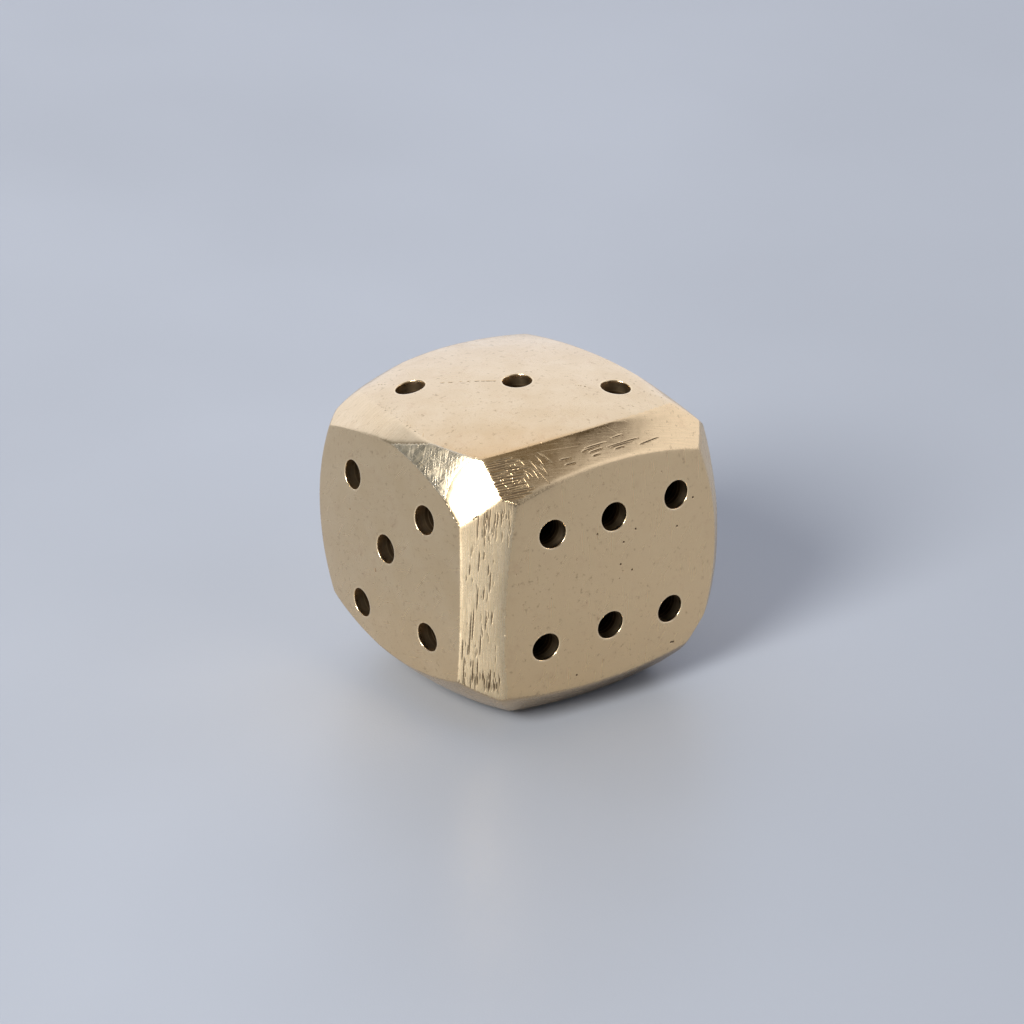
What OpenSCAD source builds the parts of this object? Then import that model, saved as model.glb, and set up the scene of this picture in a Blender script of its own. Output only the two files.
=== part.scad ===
// Solid brass die, ground and drilled by hand, of the size that sits on a desk as a paperweight.
// It is one piece of metal. It starts as a cube, and every surface that the grinder leaves on it is
// a patch of a large ball: six crowned faces, the bevels along the edges, and the facets at the
// corners. The blank is what all of those balls have in common, and the pips are drilled into it.
// Opposite faces add up to seven. The die stands on four, with its origin in the flat under it.

/* [Body] */
// Width from face to face
face_w = 50; // [40:1:60]
// Depth of the flat that is lapped across the crown of the resting face
lap = 0.2; // [0.1:0.05:0.4]

/* [Pips] */
// Diameter of the drill
pip_d = 4.7; // [3:0.1:5.5]
// Depth to which the full diameter goes, below the sharp cube
pip_depth = 7; // [5:0.5:9]
// Angle of the drill's point
point_angle = 118; // [90:1:140]

/* [Hidden] */
$fn = 180;

// The grinding and the pip layouts are laid out on a die this wide, and grow with face_w
PATTERN_W = 50;
grow = face_w / PATTERN_W;

// Distance from the centre to a face, to an edge and to a corner of the sharp cube
to_face = PATTERN_W / 2;
to_edge = to_face * sqrt(2);
to_corner = to_face * sqrt(3);

// Each row is one ground surface: the heading that it faces, anticlockwise from +X, its elevation
// above the horizontal, the depth ground off the sharp cube there, and the radius of its crown.
// The work is done by eye, so no two rows that show agree.
FACES = [
    [249,    88,    0.4,  95],  // three, on top
    [271.5,   1.5, -0.2, 160],  // five, at the front
    [358.5,  -1.5,  0.6, 150],  // six, on the right
    [  0,   -90,    0,   130],  // four, underneath
    [180,     0,    0,   130],  // one, on the left
    [ 90,     0,    0,   130],  // two, at the back
];
EDGES = [
    [354,  51, 5.6,  60],  // three and six
    [264,  56, 5.6,  80],  // three and five, the half towards one
    [279,  28, 5.2,  55],  // three and five, the half towards six
    [321,   1, 6.0,  85],  // five and six
    [173,  43, 5.1,  50],  // three and one
    [ 99,  44, 7.1, 100],  // three and two
    [ 44,   0, 3.8,  60],  // six and two
    [218,  -9, 3.9,  45],  // five and one
    [264, -55, 6.4,  55],  // five and four
    [358, -48, 5.7,  95],  // six and four
    [135,   0, 6.0,  70],  // one and two
    [180, -45, 6.0,  70],  // one and four
    [ 90, -45, 6.0,  70],  // two and four
];
CORNERS = [
    [300,  30, 12.4, 400],  // three, five and six: a broad facet
    [ 45, -29, 10.4, 200],  // six, two and four: a small one
];

// How to turn each face's own view, with x to the right and y up, to its side of the die
THREE_SIDE = [0, 0, 0];
FIVE_SIDE = [90, 0, 0];
SIX_SIDE = [90, 0, 90];
TWO_SIDE = [90, 0, 180];
ONE_SIDE = [90, 0, 270];
FOUR_SIDE = [180, 0, 0];

// Where the pips were punched on each face, in that view
THREE = [[-10.3, -13.3], [1.1, -0.8], [10.6, 11.3]];
FIVE = [[-10.3, 10.6], [9.2, 10.2], [-0.4, 1.7], [-7.7, -10.6], [10.0, -9.6]];
SIX = [[-10.1, 9.5], [1.1, 9.5], [13.2, 9.7], [-11.2, -9.9], [0.6, -9.3], [12.3, -10.1]];
TWO = [[-10.5, 9.5], [10.0, -10.5]];
ONE = [[0.5, -0.5]];
FOUR = [[-11.0, 10.5], [10.5, 11.0], [-10.5, -10.0], [11.0, -11.0]];

// A drilled hole starts this far outside the sharp cube
DRILL_START = 2;

// The ball that one surface is ground to, where the sharp cube reached the distance sharp
module ground_ball(surface, sharp) {
    heading = surface[0];
    elevation = surface[1];
    reach = sharp - surface[2];
    radius = surface[3];
    rotate([0, elevation, heading + 180])
        translate([radius - reach, 0, 0])
            sphere(r = radius);
}

// The cube after grinding, before drilling
module blank() {
    scale(grow)
        intersection() {
            intersection_for (surface = FACES) ground_ball(surface, to_face);
            intersection_for (surface = EDGES) ground_ball(surface, to_edge);
            intersection_for (surface = CORNERS) ground_ball(surface, to_corner);
        }
}

// A twist drill, point down, with its shoulder at the height z = 0
module drill(length) {
    radius = pip_d / 2;
    point = radius / tan(point_angle / 2);
    cylinder(h = length, r = radius);
    translate([0, 0, -point])
        cylinder(h = point, r1 = 0, r2 = radius);
}

// The holes for one face's pips
module pip_holes(side, places) {
    rotate(side)
        for (place = places)
            translate([place[0] * grow, place[1] * grow, face_w / 2 - pip_depth])
                drill(pip_depth + DRILL_START);
}

// What the lapping plate leaves: everything above the resting flat
module above_flat() {
    translate([-face_w, -face_w, lap - face_w / 2])
        cube(2 * face_w);
}

module die_body() {
    color([0.80, 0.71, 0.52])
        translate([0, 0, face_w / 2 - lap])
            difference() {
                intersection() {
                    blank();
                    above_flat();
                }
                pip_holes(THREE_SIDE, THREE);
                pip_holes(FIVE_SIDE, FIVE);
                pip_holes(SIX_SIDE, SIX);
                pip_holes(TWO_SIDE, TWO);
                pip_holes(ONE_SIDE, ONE);
                pip_holes(FOUR_SIDE, FOUR);
            }
}

die_body();
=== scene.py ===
import math

import bpy
import numpy as np
from mathutils import Matrix, Vector
from mathutils.geometry import delaunay_2d_cdt


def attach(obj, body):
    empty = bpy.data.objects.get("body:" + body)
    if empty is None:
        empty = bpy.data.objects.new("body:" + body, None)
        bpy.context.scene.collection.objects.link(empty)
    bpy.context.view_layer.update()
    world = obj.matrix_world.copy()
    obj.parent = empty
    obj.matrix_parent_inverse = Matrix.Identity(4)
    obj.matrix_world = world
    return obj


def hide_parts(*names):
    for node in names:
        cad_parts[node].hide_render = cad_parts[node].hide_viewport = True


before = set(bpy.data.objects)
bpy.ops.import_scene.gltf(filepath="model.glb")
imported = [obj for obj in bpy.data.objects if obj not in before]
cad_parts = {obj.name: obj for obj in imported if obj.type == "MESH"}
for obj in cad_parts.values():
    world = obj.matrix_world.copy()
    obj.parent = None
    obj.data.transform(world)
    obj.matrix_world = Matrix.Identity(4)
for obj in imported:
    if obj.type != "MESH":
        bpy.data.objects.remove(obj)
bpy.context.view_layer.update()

# A solid brass die: the CAD solid as a fine mesh, with worn arrises, file marks, torn slits, pits
# and drilled pips. Lengths are in millimetres about the cube's centre until the mesh is made, and
# headings run anticlockwise from +X.

# ---------------------------------------------------------------------------
# The ground surfaces, as part.scad has them
# ---------------------------------------------------------------------------

MM = 0.001
FACE_W = 50.0
LAP = 0.2
TO_FACE = FACE_W / 2
TO_EDGE = TO_FACE * math.sqrt(2)
TO_CORNER = TO_FACE * math.sqrt(3)
REST = TO_FACE - LAP

# Each row: heading, elevation, depth ground off the sharp cube there, crown radius
FACES = {
    "three": (249, 88, 0.4, 95),
    "five": (271.5, 1.5, -0.2, 160),
    "six": (358.5, -1.5, 0.6, 150),
    "four": (0, -90, 0, 130),
    "one": (180, 0, 0, 130),
    "two": (90, 0, 0, 130),
}
EDGES = {
    "three_six": (354, 51, 5.6, 60),
    "three_five_left": (264, 56, 5.6, 80),
    "three_five_right": (279, 28, 5.2, 55),
    "five_six": (321, 1, 6.0, 85),
    "three_one": (173, 43, 5.1, 50),
    "three_two": (99, 44, 7.1, 100),
    "six_two": (44, 0, 3.8, 60),
    "five_one": (218, -9, 3.9, 45),
    "five_four": (264, -55, 6.4, 55),
    "six_four": (358, -48, 5.7, 95),
    "one_two": (135, 0, 6.0, 70),
    "one_four": (180, -45, 6.0, 70),
    "two_four": (90, -45, 6.0, 70),
}
CORNERS = {
    "near_corner": (300, 30, 12.4, 400),
    "far_corner": (45, -29, 10.4, 200),
}

# Each side's own view: its x and y axes, and the places of the pips punched on it
SIDES = {
    "three": ((1, 0, 0), (0, 1, 0), [(-10.3, -13.3), (1.1, -0.8), (10.6, 11.3)]),
    "five": ((1, 0, 0), (0, 0, 1),
             [(-10.3, 10.6), (9.2, 10.2), (-0.4, 1.7), (-7.7, -10.6), (10.0, -9.6)]),
    "six": ((0, 1, 0), (0, 0, 1),
            [(-10.1, 9.5), (1.1, 9.5), (13.2, 9.7), (-11.2, -9.9), (0.6, -9.3), (12.3, -10.1)]),
    "two": ((-1, 0, 0), (0, 0, 1), [(-10.5, 9.5), (10.0, -10.5)]),
    "one": ((0, -1, 0), (0, 0, 1), [(0.5, -0.5)]),
    "four": ((1, 0, 0), (0, -1, 0),
             [(-11.0, 10.5), (10.5, 11.0), (-10.5, -10.0), (11.0, -11.0)]),
}
PIP_R = 4.7 / 2
PIP_DEPTH = 7.0
POINT_ANGLE = 118.0
SETTLE_STEPS = 9


def direction(heading, elevation):
    """The unit vector of that heading and elevation, in degrees."""
    h, e = math.radians(heading), math.radians(elevation)
    return np.array([math.cos(h) * math.cos(e), math.sin(h) * math.cos(e), math.sin(e)])


def ground_balls():
    """The name, outward direction, centre and radius of every ball that the die is ground to."""
    names, outward, centres, radii = [], [], [], []
    for rows, sharp in ((FACES, TO_FACE), (EDGES, TO_EDGE), (CORNERS, TO_CORNER)):
        for name, (heading, elevation, ground_off, radius) in rows.items():
            out = direction(heading, elevation)
            names.append(name)
            outward.append(out)
            centres.append(out * (sharp - ground_off - radius))
            radii.append(radius)
    return names, np.array(outward), np.array(centres), np.array(radii, float)


BALL_NAMES, OUTWARD, CENTRES, RADII = ground_balls()
# Every surface has a number, its place in this list. The lapped flat comes last.
NAMES = BALL_NAMES + ["flat"]
FLAT = len(BALL_NAMES)
# How softly two ground surfaces meet: as ground, worn by the hand, and polished nearly away
CRISP, WORN, POLISHED = 0.07, 0.22, 0.55


def heights(points):
    """How far each point stands outside each ball and, last, outside the lapped flat."""
    balls = np.linalg.norm(points[:, None, :] - CENTRES, axis=2) - RADII
    flat = -points[:, 2:3] - REST
    return np.hstack([balls, flat])


def rise(values, start, end):
    """0 up to start, 1 from end on, and an even ramp between them, whichever is larger."""
    return np.clip((values - start) / (end - start), 0, 1)


def softness(points):
    """Crisp arrises, but for those round six and the two that were polished nearly away."""
    x, y, z = points.T
    top = rise(z, 18.5, 21.5)
    left_of_five = rise(x, -3, -10) * rise(y, -8, -14)
    far_end_of_six = rise(y, 4, 15) * rise(x, 8, 14)
    polished = top * np.maximum(left_of_five, far_end_of_six)
    round_six = rise(x, 19, 22) * rise(z, 19, 16) * rise(y, 20, 16)
    off_near_corner = np.clip(rise(z, 13, 9) + rise(y, -17, -13), 0, 1)
    worn = round_six * off_near_corner
    return CRISP + (WORN - CRISP) * worn + (POLISHED - CRISP) * polished


def outside(points):
    """How far each point stands outside the die, with its arrises rounded."""
    h = heights(points)
    top = h.max(axis=1, keepdims=True)
    soft = softness(points)
    return top[:, 0] + soft * np.log(np.exp((h - top) / soft[:, None]).sum(axis=1))


def settle(points):
    """Slides each point along the ray from the cube's centre until it lies on the die."""
    for _ in range(SETTLE_STEPS):
        reach = np.linalg.norm(points, axis=1)
        points = points * (1 - outside(points) / reach)[:, None]
    return points


def outward_at(points, owner):
    """The direction that faces out of each point's surface. owner gives the surface's number."""
    balls = np.minimum(owner, FLAT - 1)
    out = (points - CENTRES[balls]) / RADII[balls][:, None]
    out[owner == FLAT] = (0, 0, -1)
    return out


def surface_axes(name):
    """The two directions in which places on a surface are given."""
    if name in SIDES:
        return np.array(SIDES[name][0], float), np.array(SIDES[name][1], float)
    heading = {**EDGES, **CORNERS}[name][0]
    out = OUTWARD[NAMES.index(name)]
    across = direction(heading + 90, 0)
    return across, np.cross(out, across)


# ---------------------------------------------------------------------------
# The marks that the tools and the casting left
# ---------------------------------------------------------------------------

# Every mark is a row: the place (u, v) of its two ends on its surface, half its width, its depth
MARK_REACH = 1.5            # no mark changes the mesh further from it than this
FAR = 9.0                   # stands for a point that is near no mark
LONG_MARK = 0.3             # a mark longer than this is shallower at its ends
SHALLOW_END = 0.15          # how deep it is there, as a share of its depth, squared
rng = np.random.default_rng(21)


def stroke(u, v, length, lean, half_width, depth):
    """A mark that starts at (u, v) on its surface and runs down it, leaning by lean degrees."""
    tilt = math.radians(lean)
    end = (u - length * math.sin(tilt), v - length * math.cos(tilt))
    return (u, v, *end, half_width, depth)


def torn_slits():
    """The slits that the grinder tore open down the bevel between five and six.

    The large ones are placed one by one, by their top ends and lengths. The fine ones are strewn
    down the bevel, and more densely at its top and its bottom end.
    """
    drawn = [
        (-3.9, 7.7, 3.3), (-3.2, 7.7, 1.3), (-5.4, 5.5, 1.7), (-2.5, 5.6, 1.7), (-2.2, 4.4, 3.3),
        (-4.2, 1.8, 3.9), (-3.3, 1.4, 1.7), (-4.9, -2.1, 5.4), (-5.3, -2.6, 7.7), (-3.0, -2.9, 2.7),
        (-2.1, -2.3, 2.3), (-3.9, -6.5, 3.6), (-6.7, -7.5, 3.7), (-5.9, -8.4, 1.8),
        (-5.2, -11.1, 3.7), (-4.5, -11.4, 1.9), (-2.5, -12.8, 3.8), (-7.5, -15.0, 1.9),
        (-6.6, -11.2, 5.7),
    ]
    slits = [stroke(u, v, length, 4, 0.075, 0.14) for u, v, length in drawn]
    for _ in range(46):
        u, v = rng.uniform(-6.6, -1.6), rng.uniform(-16, 12)
        slits.append(stroke(u, v, rng.uniform(0.5, 1.8), rng.uniform(1, 6), 0.06, 0.07))
    for _ in range(34):
        u, v = rng.uniform(-4.6, 1.2), rng.uniform(10.2, 14.8)
        slits.append(stroke(u, v, rng.uniform(0.8, 2.6), rng.uniform(0, 9), 0.06, 0.09))
    for _ in range(34):
        u, v = rng.uniform(-7.2, -1.0), rng.uniform(-15.5, -12.5)
        slits.append(stroke(u, v, rng.uniform(0.8, 2.8), rng.uniform(-1, 5), 0.065, 0.10))
    return slits


def gouges():
    """The scores that run along the bevel between three and six, each given by its two ends."""
    drawn = [
        (0.1, -3.4, 3.9, -3.2), (3.8, -4.0, 9.7, -3.5), (9.6, -4.6, 13.4, -3.9),
        (0.6, -4.2, 2.8, -4.0), (5.0, -4.6, 6.6, -4.4), (0.9, -4.9, 2.0, -4.8),
        (-4.6, -4.2, -2.9, -4.3), (5.2, -2.7, 7.1, -2.5), (-4.0, -5.2, -2.4, -5.2),
        (-0.6, -3.8, 2.4, -3.5), (4.4, -4.2, 8.3, -3.9),
    ]
    return [(*ends, 0.10, 0.15) for ends in drawn]


def file_marks():
    """The coarse marks of the file at the near end of the bevel between three and six."""
    marks = []
    for v in np.arange(-7.6, -1.2, 0.30):
        for start in (-16.2, -14.0):
            u = start + rng.uniform(-0.6, 0.6)
            length = rng.uniform(2.2, 4.2)
            fall = length * math.tan(math.radians(rng.uniform(5, 12)))
            high = v + rng.uniform(-0.08, 0.08)
            marks.append((u, high, u + length, high - fall, 0.09, rng.uniform(0.08, 0.16)))
    for _ in range(26):
        u, v = rng.uniform(-15, -7), rng.uniform(-5.5, -2)
        marks.append(stroke(u, v, rng.uniform(0.8, 2.4), rng.uniform(-35, -10), 0.08, 0.07))
    return marks


def pits(places, radius, depth):
    """Small round holes in the casting."""
    return [(u, v, u, v, radius, depth) for u, v in places]


def scattered_pits(count, reach, radius, depth):
    """Fine pits strewn over a face."""
    places = rng.uniform(-reach, reach, (count, 2))
    sizes = rng.uniform(0.5, 1.0, count)
    return [(u, v, u, v, radius * s, depth * s) for (u, v), s in zip(places, sizes)]


def scribed_line():
    """What is left of the line that was scribed through the three pips of the top."""
    runs = (((-7.6, -10.2), (-1.0, -3.5), 17), ((7.2, 5.6), (8.6, 7.0), 5),
            ((14.3, 14.9), (15.4, 16.7), 3), ((-16.8, -15.4), (-15.0, -14.6), 4))
    dashes = []
    for start, end, count in runs:
        way = np.subtract(end, start)
        for t in rng.uniform(0, 1, count):
            u, v = start + t * way
            length = rng.uniform(0.01, 0.06)
            size = rng.uniform(0.07, 0.11)
            dashes.append((u, v, *(np.array([u, v]) + length * way), size, size))
    return dashes


def chatter():
    """Short scores that the grinder left along the soft arris over the left of five."""
    scores = []
    for u in np.arange(-12.5, 4.5, 0.8):
        u += rng.uniform(-0.3, 0.3)
        v = -18.9 - 0.11 * (u + 12.5) + rng.uniform(-0.4, 0.6)
        scores.append((u, v, u + rng.uniform(0.4, 0.9), v - rng.uniform(0.3, 0.7), 0.08, 0.03))
    return scores


MARKS = {
    "five_six": torn_slits(),
    "three_six": gouges() + file_marks(),
    "six": pits([(-2.1, 7.4), (16.6, 8.2), (2.2, 1.0), (-5.2, -16.8), (4.4, -0.6), (5.1, 6.3),
                 (13.3, 4.3), (2.8, 4.7), (13.1, -16.6), (13.5, -16.7)], 0.20, 0.20)
           + scattered_pits(60, 17, 0.12, 0.06),
    "five": pits([(-3.3, -2.9), (-3.2, -3.2), (-10.6, 4.6)], 0.18, 0.18)
            + scattered_pits(30, 16, 0.11, 0.05),
    "three": scribed_line() + chatter() + scattered_pits(26, 16, 0.09, 0.025),
    "one": scattered_pits(30, 16, 0.10, 0.04),
    "two": scattered_pits(30, 16, 0.10, 0.04),
}


def one_mark(place, mark):
    """Which places a mark reaches, how deep it cuts them, and how far beyond its width they are."""
    u0, v0, u1, v1, half, full = mark
    along = np.array([u1 - u0, v1 - v0])
    length = np.linalg.norm(along)
    offset = place - (u0, v0)
    to_middle = np.linalg.norm(offset - along / 2, axis=1)
    near = np.flatnonzero(to_middle < length / 2 + MARK_REACH)
    t = np.clip(offset[near] @ along / max(length * length, 1e-9), 0, 1)
    apart = np.linalg.norm(offset[near] - t[:, None] * along, axis=1)
    taper = np.sqrt(np.clip(4 * t * (1 - t), SHALLOW_END, 1)) if length > LONG_MARK else 1.0
    return near, full * taper * np.clip(1 - (apart / half) ** 2, 0, 1), apart - half


def mark_depths(points, owner):
    """For each point: how deep the marks cut, and how far the nearest one is beyond its width."""
    depth = np.zeros(len(points))
    clear = np.full(len(points), FAR)
    for name, marks in MARKS.items():
        here = np.flatnonzero(owner == NAMES.index(name))
        across, up = surface_axes(name)
        place = np.stack([points[here] @ across, points[here] @ up], axis=1)
        for mark in marks:
            near, cut, beyond = one_mark(place, mark)
            row = here[near]
            depth[row] = np.maximum(depth[row], cut)
            clear[row] = np.minimum(clear[row], beyond)
    return depth, clear


# ---------------------------------------------------------------------------
# The mesh of the ground surfaces, open at the pips
# ---------------------------------------------------------------------------

LIP = 0.10                  # how far the worn lip of a pip reaches beyond the drilled hole
RIM_POINTS = 40
ON_RIM = 0.01               # a point nearer than this to the lip's outer edge is one of its own
# The rings of points round a pip, to grade the mesh: how much wider than the rim, and with what
# share of its points
RINGS = ((1.0, 1.0), (1.13, 1.0), (1.32, 0.75), (1.6, 0.5))
CLEARANCE = 1.12            # the grid keeps this many times further off than the last ring
CELLS = 20                  # cells along a side before the mesh is made finer
PASSES = 6
# The longest edge wanted in the middle of each surface
FACE_SIZE = {"three": 1.3, "five": 1.3, "six": 1.3, "flat": 2.0, "four": 1.6}
EDGE_SIZE = {"three_six": 0.5, "five_six": 0.5, "three_five_right": 0.5, "near_corner": 0.6,
             "three_five_left": 0.9}
HIDDEN_SIZE = 1.8
NEAR_ARRIS, SHOWN_ARRIS, HIDDEN_ARRIS = 0.12, 0.22, 0.6
MARK_SIZE = 0.10
ARRIS_GRADE, MARK_GRADE = 1.1, 1.2    # how fast edges may grow away from an arris and a mark
SNAP = 0.06                 # a point nearer than this to an arris is moved onto it
BLUNT = 0.02                # unless its two surfaces meet more bluntly than this


def size_table():
    """The longest triangle edge wanted in the middle of each surface, and at its arrises."""
    middle = [FACE_SIZE.get(name, EDGE_SIZE.get(name, HIDDEN_SIZE)) for name in NAMES]
    shown = [name in ("three", "five", "six") or name in EDGE_SIZE for name in NAMES]
    arris = np.where(shown, SHOWN_ARRIS, HIDDEN_ARRIS)
    arris[NAMES.index("near_corner")] = NEAR_ARRIS
    return np.array(middle), arris


MIDDLE_SIZE, ARRIS_SIZE = size_table()


def wanted_size(points):
    """How long a triangle edge may be at each point."""
    h = heights(points)
    owner = h.argmax(axis=1)
    two = np.partition(h, -2, axis=1)[:, -2:]
    gap = two[:, 1] - two[:, 0]
    size = np.minimum(MIDDLE_SIZE[owner], ARRIS_SIZE[owner] + ARRIS_GRADE * gap)
    clear = mark_depths(points, owner)[1]
    return np.minimum(size, MARK_SIZE + MARK_GRADE * np.maximum(clear, 0))


def side_frame(side):
    """A side's x axis, y axis and way out, and the places of its pips."""
    x_axis, y_axis, pips = SIDES[side]
    x_axis, y_axis = np.array(x_axis, float), np.array(y_axis, float)
    return x_axis, y_axis, np.cross(x_axis, y_axis), pips


def pip_points(side):
    """The rings of points round each pip of a side, seen from the centre on the sharp cube."""
    x_axis, y_axis, out, pips = side_frame(side)
    rings = []
    for px, py in pips:
        for widen, share in RINGS:
            count = int(RIM_POINTS * share)
            turn = np.arange(count) / count * math.tau
            radius = (PIP_R + LIP) * widen
            x, y = px + radius * np.cos(turn), py + radius * np.sin(turn)
            ring = np.outer(x, x_axis) + np.outer(y, y_axis) + TO_FACE * out
            for _ in range(SETTLE_STEPS):
                ring = ring - np.outer(outside(ring), out)
            flat = np.stack([ring @ x_axis, ring @ y_axis], axis=1)
            rings.append(flat * (TO_FACE / (ring @ out))[:, None])
    return rings


def clear_grid(rings):
    """The points of an even grid over a side, without those that are too near a pip."""
    steps = np.linspace(-TO_FACE, TO_FACE, CELLS + 1)
    grid = np.array([(x, y) for x in steps for y in steps])
    keep = np.ones(len(grid), bool)
    for outer in rings[len(RINGS) - 1::len(RINGS)]:
        middle = outer.mean(axis=0)
        reach = np.linalg.norm(outer - middle, axis=1).max()
        keep &= np.linalg.norm(grid - middle, axis=1) > CLEARANCE * reach
    return grid[keep]


def side_patch(side):
    """One side of the cube as points and triangles, with the pips' rims in it."""
    x_axis, y_axis, out, _ = side_frame(side)
    rings = pip_points(side)
    grid = clear_grid(rings)
    loops, at = [], len(grid)
    for i, ring in enumerate(rings):
        if i % len(RINGS) == 0:
            loops += [(at + j, at + (j + 1) % len(ring)) for j in range(len(ring))]
        at += len(ring)
    flat = [Vector(p) for p in np.vstack([grid] + rings)]
    made = delaunay_2d_cdt(flat, loops, [], 0, 1e-6, False)
    place = np.array([tuple(p) for p in made[0]])
    points = np.outer(place[:, 0], x_axis) + np.outer(place[:, 1], y_axis) + TO_FACE * out
    return points, np.array(made[2])


def closed_cube():
    """All six sides, joined where they meet and settled on the die, open at the pips."""
    points, tris, count = [], [], 0
    for side in SIDES:
        p, t = side_patch(side)
        points.append(p)
        tris.append(t + count)
        count += len(p)
    points, tris = np.vstack(points), np.vstack(tris)
    _, first, same = np.unique(np.round(points, 3), axis=0, return_index=True, return_inverse=True)
    points, tris = settle(points[first]), same.reshape(-1)[tris]
    rim = rim_numbers(points)
    inside = (rim[tris] >= 0).all(axis=1) & (rim[tris].min(axis=1) == rim[tris].max(axis=1))
    return points, tris[~inside], rim


def all_pips():
    """Every pip's side axes, way out and centre."""
    rows = []
    for side in SIDES:
        x_axis, y_axis, out, pips = side_frame(side)
        rows += [(x_axis, y_axis, out, px, py) for px, py in pips]
    return rows


def rim_numbers(points):
    """The number of the pip whose rim each point lies on, or -1."""
    rim = np.full(len(points), -1)
    for number, (x_axis, y_axis, out, px, py) in enumerate(all_pips()):
        away = np.hypot(points @ x_axis - px, points @ y_axis - py)
        on_this_side = points @ out > TO_FACE / 2
        rim[(abs(away - PIP_R - LIP) < ON_RIM) & on_this_side] = number
    return rim


def edges_of(tris):
    """Every edge once, the edges of each triangle, and how many triangles use each edge."""
    pairs = np.sort(np.stack([tris, np.roll(tris, -1, axis=1)], axis=2).reshape(-1, 2), axis=1)
    edges, edge_of, uses = np.unique(pairs, axis=0, return_inverse=True, return_counts=True)
    return edges, edge_of.reshape(-1, 3), uses


def with_longest(cut, edge_of, longest):
    """The edges to cut, and with them the longest edge of every triangle that they belong to."""
    while True:
        more = cut.copy()
        more[longest[cut[edge_of].any(axis=1)]] = True
        if (more == cut).all():
            return cut
        cut = more


def split_triangles(tris, edge_of, turn, number):
    """The two to four triangles that the cut edges make of each one, and the whole ones.

    turn says which edge of a triangle is its longest, and number is the new point on an edge.
    """
    order = (turn[:, None] + np.arange(3)) % 3
    row = np.arange(len(tris))[:, None]
    a, b, c = tris[row, order].T
    m, n, o = number[edge_of[row, order]].T
    whole = m < 0
    one = ~whole & (n < 0) & (o < 0)
    right = ~whole & (n >= 0) & (o < 0)
    left = ~whole & (n < 0) & (o >= 0)
    both = ~whole & (n >= 0) & (o >= 0)
    parts = [tris[whole]]
    for which, corners in (
        (one, ((a, m, c), (m, b, c))),
        (right, ((a, m, c), (m, b, n), (m, n, c))),
        (left, ((m, b, c), (a, m, o), (o, m, c))),
        (both, ((a, m, o), (m, b, n), (m, n, c), (m, c, o))),
    ):
        parts += [np.stack([k[which] for k in corner], axis=1) for corner in corners]
    return np.vstack(parts)


def split_once(points, tris):
    """Splits the edges that are too long, the longest of a triangle first. Rims stay whole."""
    edges, edge_of, uses = edges_of(tris)
    length = np.linalg.norm(points[edges[:, 0]] - points[edges[:, 1]], axis=1)
    length[uses == 1] = 0
    middle = (points[edges[:, 0]] + points[edges[:, 1]]) / 2
    turn = length[edge_of].argmax(axis=1)
    longest = edge_of[np.arange(len(tris)), turn]
    cut = with_longest(length > wanted_size(middle), edge_of, longest)
    number = np.full(len(edges), -1)
    number[cut] = len(points) + np.arange(cut.sum())
    points = np.vstack([points, settle(middle[cut])])
    return points, split_triangles(tris, edge_of, turn, number)


def refine(points, tris):
    """Splits the mesh until nearly every edge is as short as its place asks for."""
    for _ in range(PASSES):
        points, tris = split_once(points, tris)
    return points, tris


def snap_to_arrises(points, fixed):
    """Moves the points that lie almost on an arris onto it, so that it runs clean."""
    h = heights(points)[:, :-1]
    first = h.argmax(axis=1)
    row = np.arange(len(points))
    top = h[row, first]
    h[row, first] = -np.inf
    second = h.argmax(axis=1)
    gap = top - h[row, second]
    slope = outward_at(points, first) - outward_at(points, second)
    square = (slope ** 2).sum(axis=1)
    near = (gap < SNAP * np.sqrt(square)) & (square > BLUNT)
    near[fixed] = False
    points = points.copy()
    points[near] -= slope[near] * (gap[near] / square[near])[:, None]
    points[near] = settle(points[near])
    return points


# ---------------------------------------------------------------------------
# The drilled pips
# ---------------------------------------------------------------------------

TO_SHOULDER = TO_FACE - PIP_DEPTH
POINT_HEIGHT = PIP_R / math.tan(math.radians(POINT_ANGLE / 2))
TIP_DEPTH = 1.2             # the depth of the drill's tip, as a share of PIP_DEPTH
# The worn lip, ring by ring: how far out, as a share of LIP, and how far below the rim
LIP_DROP = 0.18
LIP_RINGS = ((0.5, 0.025), (0.15, 0.08), (0.0, LIP_DROP))
# The wall from there to the shoulder, which the drill scored in a spiral
WALL_RINGS = np.linspace(0.06, 1, 12)
WALL_R = PIP_R - 0.02
SCORE_DEPTH, SCORE_TURNS = 0.025, 11
POINT_RINGS = (0.35, 0.7)


def pip_wall(rim_points, x_axis, y_axis, out, px, py):
    """The rings of points down one drilled hole, from its rim to the drill's tip, and the tip."""
    turn = np.arctan2(rim_points @ y_axis - py, rim_points @ x_axis - px)
    top = rim_points @ out
    phase = rng.uniform(0, math.tau)
    rings = [(PIP_R + share * LIP, top - drop) for share, drop in LIP_RINGS]
    for share in WALL_RINGS:
        score = SCORE_DEPTH * np.sin(turn + phase + SCORE_TURNS * math.tau * share) * (share < 1)
        rings.append((WALL_R + score, top - LIP_DROP + share * (TO_SHOULDER - top + LIP_DROP)))
    for share in POINT_RINGS:
        rings.append((PIP_R * (1 - share), TO_SHOULDER - POINT_HEIGHT * share))
    made = []
    for radius, z in rings:
        x, y = px + radius * np.cos(turn), py + radius * np.sin(turn)
        made.append(np.outer(x, x_axis) + np.outer(y, y_axis) + np.outer(z, out))
    tip = px * x_axis + py * y_axis + (TO_SHOULDER - POINT_HEIGHT) * out
    return made, tip


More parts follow.
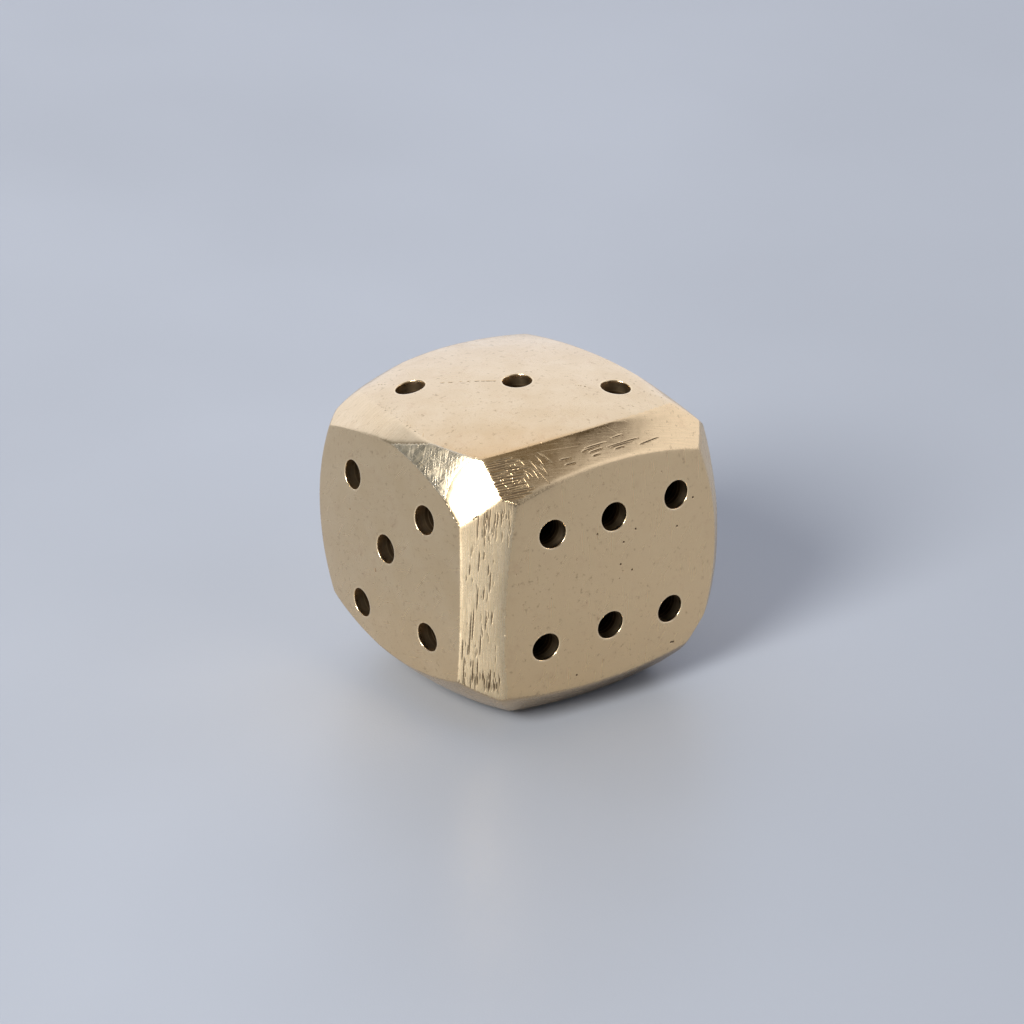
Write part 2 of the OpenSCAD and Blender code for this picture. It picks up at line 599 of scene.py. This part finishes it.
def drill_pips(points, tris, rim):
    """Adds the wall and the conical end of every pip.

    Returns also how deep in a pip each point is, as a share of PIP_DEPTH.
    """
    new_points, new_tris, new_depth = [points], [tris], [np.zeros(len(points))]
    count = len(points)
    for number, pip in enumerate(all_pips()):
        loop = np.flatnonzero(rim == number)
        x_axis, y_axis, out, px, py = pip
        turn = np.arctan2(points[loop] @ y_axis - py, points[loop] @ x_axis - px)
        loop = loop[turn.argsort()]
        rings, tip = pip_wall(points[loop], *pip)
        upper = loop
        for ring in rings:
            lower = count + np.arange(len(ring))
            beside, below = np.roll(upper, -1), np.roll(lower, -1)
            new_tris.append(np.stack([beside, lower, upper], axis=1))
            new_tris.append(np.stack([below, lower, beside], axis=1))
            new_points.append(ring)
            new_depth.append((points[loop] @ out - ring @ out) / PIP_DEPTH)
            count += len(ring)
            upper = lower
        last = np.full(len(upper), count)
        new_tris.append(np.stack([np.roll(upper, -1), last, upper], axis=1))
        new_points.append(tip[None])
        new_depth.append(np.array([TIP_DEPTH]))
        count += 1
    return np.vstack(new_points), np.vstack(new_tris), np.hstack(new_depth)


# ---------------------------------------------------------------------------
# The die, with the finish of its surfaces
# ---------------------------------------------------------------------------

# The way that the file or the wheel ran on each surface, in degrees from its own x axis. On the
# others it differs by GRAIN_STEP from one to the next.
GRAIN = {"three_six": -8, "five_six": 90, "three_five_right": 60, "near_corner": 40}
GRAIN_START, GRAIN_STEP = 20, 35
LANE_STEP = 40              # keeps the noise on one surface apart from that on the next
# How much of the file's or wheel's marks was left
FILED = {**dict.fromkeys([*FACES, "flat"], 0.0), "five_six": 1.0, "three_five_right": 0.8,
         "near_corner": 0.25, "three_five_left": 0.06}
FILED_ELSEWHERE = 0.45
# How much warmer some surfaces are made than the polished top
WARM_SHARE = {"three": 0.0, "five": 0.35, "six": 0.85, "three_six": 0.9, "five_six": 0.0,
                "three_five_left": 0.0, "three_five_right": 0.0, "near_corner": 0.0}
WARM_ELSEWHERE = 0.5
# Where the metal is fresh and bright, with a painted reflection, and where it is brushed silvery
FRESH_AND_LIT = {"three_five_left": 0.35}
SILVER = {"three_five_right": 0.9}
# The surfaces round the resting face, never polished: dull tarnish, and painted shade under the die
DULL_AND_SHADED = dict.fromkeys(("four", "five_four", "six_four", "one_four", "two_four", "flat"), 0.55)
DARK_GROOVE = 0.08          # a mark at least this deep is as dark as marks get: dirt and painted shade
SHINY_LIP = 0.02            # a pip's lip is painted bright, worn metal with a painted highlight, down to this share of PIP_DEPTH
SWELLS = ((0.012, 9), (0.004, 3))    # height and wavelength of what the grinding left uneven


def ripple(points, wavelength, count=14):
    """A smooth random field between about -1 and 1, with features of that wavelength."""
    total = np.zeros(len(points))
    for _ in range(count):
        way = rng.normal(size=3)
        way *= rng.uniform(0.7, 1.4) * math.tau / wavelength / np.linalg.norm(way)
        total += np.sin(points @ way + rng.uniform(0, math.tau))
    return total / math.sqrt(count)


def worked_skin(points, owner, cut):
    """The points, moved off the balls by the uneven grinding and the depth of the marks."""
    uneven = sum(height * ripple(points, wavelength) for height, wavelength in SWELLS)
    lift = np.where(owner == FLAT, 0, uneven - cut)
    return points + outward_at(points, owner) * lift[:, None]


def lanes(points, owner):
    """Each point's place across and along the grain of its surface."""
    lane = np.zeros((len(points), 3))
    for index, name in enumerate(BALL_NAMES):
        here = owner == index
        across, up = surface_axes(name)
        turn = math.radians(GRAIN.get(name, GRAIN_START + GRAIN_STEP * index))
        u, v = points[here] @ across, points[here] @ up
        lane[here, 0] = u * math.sin(turn) - v * math.cos(turn)
        lane[here, 1] = u * math.cos(turn) + v * math.sin(turn)
        lane[here, 2] = LANE_STEP * index
    return lane


def by_surface(owner, table, elsewhere=0.0):
    """Each point's value in a table of surfaces, or elsewhere for one that it leaves out."""
    return np.array([table.get(name, elsewhere) for name in NAMES])[owner]


def filed_share(points, owner):
    """How much of the file's marks is left. Between three and six they are at the near end."""
    across, _ = surface_axes("three_six")
    toward_near_end = rise(points @ across, -6, -12)
    return np.where(owner == NAMES.index("three_six"), 0.35 + 0.65 * toward_near_end,
                    by_surface(owner, FILED, FILED_ELSEWHERE))


def fresh_and_lit_share(points, owner):
    """How bright the metal is. Between five and six it is so beside five, below the top end."""
    # painted reflection: the bevel between five and six is painted brighter beside five
    across, up = surface_axes("five_six")
    beside_five, below_top = rise(points @ across, -1, -6), rise(points @ up, 13, 8)
    return np.where(owner == NAMES.index("five_six"), (0.45 + 0.45 * beside_five) * below_top,
                    by_surface(owner, FRESH_AND_LIT))


def finish_of(points, owner, cut):
    """The attributes that the material reads at each point of the skin."""
    return {
        "fresh_and_lit": fresh_and_lit_share(points, owner),
        "silver": by_surface(owner, SILVER),
        "warmth": by_surface(owner, WARM_SHARE, WARM_ELSEWHERE),
        "tarnish_and_shade": by_surface(owner, DULL_AND_SHADED),
        "filed": filed_share(points, owner),
        "groove": np.clip(cut / DARK_GROOVE, 0, 1),
        "lane": lanes(points, owner),
    }


def add_attribute(mesh, name, values):
    """Stores numbers, or rows of three, on the mesh's points, and 0 on those without a value."""
    kind, field = ("FLOAT", "value") if values.ndim == 1 else ("FLOAT_VECTOR", "vector")
    every = np.zeros((len(mesh.vertices), *values.shape[1:]))
    every[:len(values)] = values
    layer = mesh.attributes.new(name, kind, "POINT")
    layer.data.foreach_set(field, every.ravel())


def linked(name, data):
    """A new object in the scene."""
    made = bpy.data.objects.new(name, data)
    bpy.context.scene.collection.objects.link(made)
    return made


def brass_die():
    """The die as one mesh object, with the attributes that its material reads."""
    points, tris, rim = closed_cube()
    points, tris = refine(points, tris)
    on_rim = np.flatnonzero(rim >= 0)
    points = snap_to_arrises(points, on_rim)
    owner = heights(points).argmax(axis=1)
    cut, _ = mark_depths(points, owner)
    skin = worked_skin(points, owner, cut)
    skin[on_rim] = points[on_rim]
    all_points, all_tris, hole = drill_pips(skin, tris, rim)

    mesh = bpy.data.meshes.new("die_body_mesh")
    placed = (all_points + (0, 0, REST)) * MM
    mesh.from_pydata(placed.tolist(), [], all_tris.tolist())
    mesh.shade_smooth()
    # A pip's lip gets a painted highlight
    lip = np.where((hole > 0) & (hole < SHINY_LIP), 1.0, 0.0)
    lip[on_rim] = 1.0
    attributes = {**finish_of(points, owner, cut), "lip": lip, "hole": hole}
    for name, values in attributes.items():
        add_attribute(mesh, name, values)
    return linked("brass_die", mesh)


# ---------------------------------------------------------------------------
# Materials
# ---------------------------------------------------------------------------

# A mix node has these sockets for colours, beside others of the same names for other kinds
MIX_A, MIX_B, MIX_RESULT = 6, 7, 2


class Nodes:
    """A node tree that starts empty, with short ways to add and join nodes."""

    def __init__(self, tree):
        self.tree = tree
        self.tree.nodes.clear()

    def add(self, kind, **settings):
        """A new node with those settings."""
        node = self.tree.nodes.new(kind)
        for key, value in settings.items():
            setattr(node, key, value)
        return node

    def put(self, value, socket):
        """Joins another node's output to the socket, or sets it to a number or a colour."""
        if isinstance(value, bpy.types.NodeSocket):
            self.tree.links.new(value, socket)
        elif isinstance(value, tuple) and len(value) == 3 and socket.type == "RGBA":
            socket.default_value = (*value, 1)
        else:
            socket.default_value = value

    def math(self, operation, a, b=0.0):
        """What the operation makes of one or two numbers."""
        node = self.add("ShaderNodeMath", operation=operation)
        self.put(a, node.inputs[0])
        self.put(b, node.inputs[1])
        return node.outputs[0]

    def plus(self, a, b):
        return self.math("ADD", a, b)

    def minus(self, a, b):
        return self.math("SUBTRACT", a, b)

    def times(self, a, b):
        return self.math("MULTIPLY", a, b)

    def larger(self, a, b):
        return self.math("MAXIMUM", a, b)

    def mix(self, share, a, b):
        """Colour a, turned into colour b by the share."""
        node = self.add("ShaderNodeMix", data_type="RGBA")
        self.put(share, node.inputs["Factor"])
        self.put(a, node.inputs[MIX_A])
        self.put(b, node.inputs[MIX_B])
        return node.outputs[MIX_RESULT]

    def span(self, value, low, high, to_low=0.0, to_high=1.0, interpolation="LINEAR"):
        """Maps low..high onto to_low..to_high, clamped."""
        node = self.add("ShaderNodeMapRange", interpolation_type=interpolation)
        self.put(value, node.inputs[0])
        for number, socket in zip((low, high, to_low, to_high), node.inputs[1:5]):
            self.put(number, socket)
        return node.outputs[0]

    def scaled(self, vector, factors):
        """The vector, stretched along its three axes."""
        node = self.add("ShaderNodeVectorMath", operation="MULTIPLY")
        self.put(vector, node.inputs[0])
        self.put(factors, node.inputs[1])
        return node.outputs[0]

    def along(self, vector, way):
        """How far the vector goes along that way."""
        node = self.add("ShaderNodeVectorMath", operation="DOT_PRODUCT")
        self.put(vector, node.inputs[0])
        self.put(way, node.inputs[1])
        return node.outputs["Value"]


class Shader(Nodes):
    """A material with one surface, and short ways to shape it."""

    def __init__(self, name):
        self.material = bpy.data.materials.new(name)
        self.material.use_nodes = True
        super().__init__(self.material.node_tree)
        self.surface = self.add("ShaderNodeBsdfPrincipled")
        output = self.add("ShaderNodeOutputMaterial")
        self.put(self.surface.outputs[0], output.inputs[0])

    def attribute(self, name, output="Fac"):
        """What the mesh stores under that name."""
        return self.add("ShaderNodeAttribute", attribute_name=name).outputs[output]

    def object_mm(self):
        """The place on the object in millimetres."""
        place = self.add("ShaderNodeTexCoord").outputs["Object"]
        return self.scaled(place, (1000, 1000, 1000))

    def noise(self, vector, scale, detail=2.0, roughness=0.5):
        """Cloudy noise with that many features per unit of the vector."""
        node = self.add("ShaderNodeTexNoise")
        self.put(vector, node.inputs["Vector"])
        node.inputs["Scale"].default_value = scale
        node.inputs["Detail"].default_value = detail
        node.inputs["Roughness"].default_value = roughness
        return node.outputs["Fac"]

    def turned(self, vector, degrees):
        """The vector turned about its third axis."""
        node = self.add("ShaderNodeVectorRotate", rotation_type="Z_AXIS")
        self.put(vector, node.inputs["Vector"])
        node.inputs["Angle"].default_value = math.radians(degrees)
        return node.outputs[0]

    def scratch(self, lane, factors, start):
        """Thin lines along the lane: 1 in a scratch and 0 beside it."""
        lines = self.noise(self.scaled(lane, factors), 1.0, detail=1.5)
        return self.span(lines, start, start + 0.05)

    def bump(self, height, millimetres):
        """Tilts the surface as if it were that many millimetres higher where the height is 1."""
        node = self.add("ShaderNodeBump")
        node.inputs["Distance"].default_value = millimetres * MM
        self.put(height, node.inputs["Height"])
        self.put(node.outputs[0], self.surface.inputs["Normal"])


# The metal's colours
BRASS_PALE = (0.815, 0.632, 0.402)
BRASS_DEEP = (0.755, 0.568, 0.342)
# Tarnish on the specks; on the surfaces round the resting face also painted shade under the die
TARNISH_AND_SHADE = (0.42, 0.29, 0.16)
OLIVE = (0.59, 0.455, 0.26)
# Painted shade inside the pips: dark on their walls and near black at their ends
PIP_END_SHADE = (0.035, 0.026, 0.016)
PIP_WALL_SHADE = (0.17, 0.110, 0.057)
# The dark in the marks: dirt in them, and painted shade in their hollows
TORN = (0.11, 0.070, 0.033)
# Paler than brass is: fresh metal with a painted reflection, and the pips' painted highlight
BRIGHT = (1.00, 0.785, 0.495)
WARM_TONE = (0.855, 0.615, 0.345)
SILVERED = (0.80, 0.70, 0.53)
STAIN = (0.60, 0.38, 0.22)
DRILL_RINGS = 9             # how many lighter bands, where the drill's rings catch the light, are painted down to the shoulder


def aged_colour(s, place):
    """Clouded brass, toned by surface, with specks and stains."""
    cloud = s.noise(place, 0.16, detail=4, roughness=0.6)
    colour = s.mix(s.span(cloud, 0.35, 0.65), BRASS_DEEP, BRASS_PALE)
    # the last tone darkens the surfaces round the resting face: tarnish and painted shade
    for name, tone in (("warmth", WARM_TONE), ("silver", SILVERED), ("tarnish_and_shade", TARNISH_AND_SHADE)):
        colour = s.mix(s.attribute(name), colour, tone)
    speck = s.span(s.noise(place, 1.3, detail=3, roughness=0.65), 0.60, 0.70)
    colour = s.mix(s.times(speck, 0.55), colour, TARNISH_AND_SHADE)
    stain = s.span(s.noise(place, 0.33, detail=5, roughness=0.75), 0.56, 0.72)
    return s.mix(s.times(stain, 0.30), colour, STAIN)


def filed_colour(s, colour, filed, striae):
    """Olive streaks where it is filed, and bright ones of fresh metal and painted reflection."""
    olive = s.times(s.span(striae, 0.38, 0.62), s.times(filed, 0.5))
    colour = s.mix(olive, colour, OLIVE)
    bright = s.times(s.attribute("fresh_and_lit"), s.span(striae, 0.30, 0.55, 1.0, 0.35))
    return s.mix(bright, colour, BRIGHT)


def hole_colour(s, colour, inside):
    """Painted shade in the pips, banded by the drill's rings, and a painted highlight on the lip.
    """
    hole = s.attribute("hole")
    # painted shade on the pip walls, deepest at their ends
    colour = s.mix(inside, colour, PIP_WALL_SHADE)
    rings = s.math("SINE", s.times(hole, DRILL_RINGS * math.tau))
    colour = s.mix(s.times(inside, s.span(rings, 0.55, 1.0, 0.0, 0.35)), colour, BRASS_DEEP)
    colour = s.mix(s.span(hole, 0.22, 0.75), colour, PIP_END_SHADE)
    return s.mix(s.times(s.attribute("lip"), 0.6), colour, BRIGHT)


def brass_roughness(s, place, filed, striae, rougher):
    """The haze of handling, rougher in the file's marks and by each row of share and amount."""
    haze = s.noise(place, 0.55, detail=5, roughness=0.7)
    rough = s.span(haze, 0.3, 0.7, 0.17, 0.26)
    rough = s.plus(rough, s.times(filed, s.span(striae, 0.35, 0.65, -0.02, 0.14)))
    for share, amount in rougher:
        rough = s.plus(rough, s.times(share, amount))
    return s.math("MINIMUM", rough, 1.0)


def brass_relief(s, place, lane, filed, striae):
    """The fine relief in millimetres: grit and swell everywhere, and the file's cut."""
    grit = s.noise(place, 3.2, detail=4, roughness=0.65)
    swell = s.noise(place, 0.45, detail=2)
    polish = s.plus(s.times(grit, 0.0008), s.times(swell, 0.012))
    fine_striae = s.noise(s.scaled(lane, (9.0, 0.5, 1)), 1.0, detail=2, roughness=0.6)
    cut = s.plus(s.times(striae, 0.020), s.times(fine_striae, 0.007))
    return s.plus(polish, s.times(cut, s.span(filed, 0, 1, 0.04, 1.0)))


def brass():
    """Hand-polished faces, filed bevels and bare-drilled holes darkened by painted shade, all in
    one metal.
    """
    s = Shader("aged_brass")
    place = s.object_mm()
    lane = s.attribute("lane", "Vector")
    filed, silver = s.attribute("filed"), s.attribute("silver")
    striae = s.noise(s.scaled(lane, (3.4, 0.22, 1)), 1.0, detail=3, roughness=0.65)
    inside = s.span(s.attribute("hole"), 0.01, 0.30)
    dirt_and_shade = s.span(s.attribute("groove"), 0.18, 0.72)
    scratches = s.larger(s.scratch(lane, (2.6, 0.10, 1), 0.66),
                         s.scratch(s.turned(lane, 38), (3.0, 0.13, 1), 0.67))
    brushing = s.larger(s.scratch(s.turned(lane, -50), (4.0, 0.30, 1), 0.56),
                        s.scratch(s.turned(lane, 80), (5.0, 0.35, 1), 0.58))
    brushed = s.times(silver, brushing)

    colour = aged_colour(s, place)
    colour = filed_colour(s, colour, filed, striae)
    colour = hole_colour(s, colour, inside)
    # The marks are darkened by their depth, with dirt and painted shade
    s.put(s.mix(dirt_and_shade, colour, TORN), s.surface.inputs["Base Color"])
    s.put(s.minus(1.0, s.times(dirt_and_shade, 0.5)), s.surface.inputs["Metallic"])

    rougher = ((s.larger(dirt_and_shade, inside), 0.3), (silver, 0.03), (brushed, 0.12), (scratches, 0.10))
    rough = brass_roughness(s, place, filed, striae, rougher)
    s.put(rough, s.surface.inputs["Roughness"])

    relief = brass_relief(s, place, lane, filed, striae)
    relief = s.minus(relief, s.times(scratches, 0.002))
    s.bump(s.minus(relief, s.times(brushed, 0.006)), 1.0)
    return s.material


FLOOR_COLOUR = (0.378, 0.402, 0.442)
# Paper brightness, as a share of that colour: in its clouds, and in the painted shade to the right
CLOUDED, SHADED = 0.94, 0.80
RIGHTWARD = (0.72, 0.58, 0)


def paper():
    """The matt pale sheet that the die stands on, with painted shade that darkens it to the right.
    """
    s = Shader("pale_paper")
    place = s.object_mm()
    cloud = s.noise(place, 0.012, detail=2)
    clouded = tuple(CLOUDED * c for c in FLOOR_COLOUR)
    shaded = tuple(SHADED * c for c in FLOOR_COLOUR)
    colour = s.mix(s.span(cloud, 0.35, 0.65), clouded, FLOOR_COLOUR)
    # painted shade: the light's falloff to the right
    colour = s.mix(s.span(s.along(place, RIGHTWARD), -30, 150), colour, shaded)
    s.put(colour, s.surface.inputs["Base Color"])
    s.surface.inputs["Roughness"].default_value = 0.42
    s.surface.inputs["Specular IOR Level"].default_value = 0.65
    s.bump(s.noise(place, 2.5, detail=3), 0.02)
    return s.material


# ---------------------------------------------------------------------------
# Floor, light and camera
# ---------------------------------------------------------------------------

def floor():
    """A large flat sheet on z = 0."""
    half, steps = 3.0, 24
    line = np.linspace(-half, half, steps + 1)
    points = [(x, y, 0.0) for y in line for x in line]
    row = steps + 1
    quads = [(j * row + i, j * row + i + 1, (j + 1) * row + i + 1, (j + 1) * row + i)
             for j in range(steps) for i in range(steps)]
    mesh = bpy.data.meshes.new("floor_mesh")
    mesh.from_pydata(points, [], quads)
    mesh.materials.append(paper())
    sheet = linked("floor", mesh)


AMBIENT = (0.15, 0.16, 0.18)
# Each row: heading, elevation, how many degrees off it is still full and has faded out, colour
SKY_SPOTS = (
    (120, 10, 80, 112, (1.0, 1.06, 1.24)),    # the bright half of the room, beyond the die
    (150, 66, 8, 24, (0.92, 0.84, 0.78)),     # a warmer patch high up in it
    (224, 26, 13, 25, (0.18, 0.19, 0.19)),    # something dark at the left
    (35, 77, 19, 28, (0.17, 0.145, 0.11)),    # a dark gap overhead
    (74, 57, 9, 18, (0.07, 0.055, 0.035)),    # and the darkest part of it
    (295, 13, 6, 24, (2.2, 2.2, 2.3)),        # a low light at the front left
)


def studio_world():
    """Soft light from beyond the die, with a dark gap overhead and a dark room at the front."""
    world = bpy.data.worlds.new("studio")
    bpy.context.scene.world = world
    world.use_nodes = True
    w = Nodes(world.node_tree)
    way = w.add("ShaderNodeTexCoord").outputs["Generated"]
    light = AMBIENT
    for heading, elevation, inner, outer, colour in SKY_SPOTS:
        toward = w.along(way, direction(heading, elevation))
        ends = [math.cos(math.radians(angle)) for angle in (outer, inner)]
        share = w.span(toward, *ends, interpolation="SMOOTHSTEP")
        light = w.mix(share, light, colour)
    sky = w.add("ShaderNodeBackground")
    w.put(light, sky.inputs["Color"])
    w.put(sky.outputs[0], w.add("ShaderNodeOutputWorld").inputs[0])


def key_light():
    """A soft box 2.2 m away at the front left, which the facet at the near corner mirrors."""
    way = direction(289, 36)
    reach = 2.2
    half_angle = math.radians(12)
    radiance = 27.5
    light = bpy.data.lights.new("key", "AREA")
    light.shape = "DISK"
    light.size = 2 * reach * math.tan(half_angle)
    light.energy = radiance * (math.pi * light.size / 2) ** 2
    light.color = (1.0, 0.99, 0.97)
    lamp = linked("key", light)
    lamp.location = Vector(way * reach) + Vector((0, 0, REST * MM))
    lamp.rotation_euler = Vector(way).to_track_quat("Z", "Y").to_euler()


def camera():
    """The photograph's view: a long lens from the front right, a little above, 0.9 m away."""
    azimuth, elevation, roll = 55.46, 25.99, -0.75
    distance, lens = 900.0, 199.8
    aim_right, aim_up = 1.12, -0.95
    a, e, r = (math.radians(angle) for angle in (azimuth, elevation, roll))
    back = np.array([math.sin(a) * math.cos(e), -math.cos(a) * math.cos(e), math.sin(e)])
    level = np.array([math.cos(a), math.sin(a), 0.0])
    above = np.cross(back, level)
    right = math.cos(r) * level + math.sin(r) * above
    up = math.cos(r) * above - math.sin(r) * level
    eye = back * distance - right * aim_right - up * aim_up + (0, 0, REST)
    data = bpy.data.cameras.new("camera")
    data.lens = lens
    data.sensor_width = 36.0
    data.clip_end = 20.0
    shooter = linked("camera", data)
    turn = Matrix((right, up, back)).transposed()
    shooter.matrix_world = Matrix.Translation(Vector(eye * MM)) @ turn.to_4x4()
    bpy.context.scene.camera = shooter


# ---------------------------------------------------------------------------
# The scene
# ---------------------------------------------------------------------------

camera()
floor()
studio_world()
key_light()
bpy.context.scene.view_settings.view_transform = "Standard"

die = brass_die()
die.data.materials.append(brass())
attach(die, "root")
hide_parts("die_body")
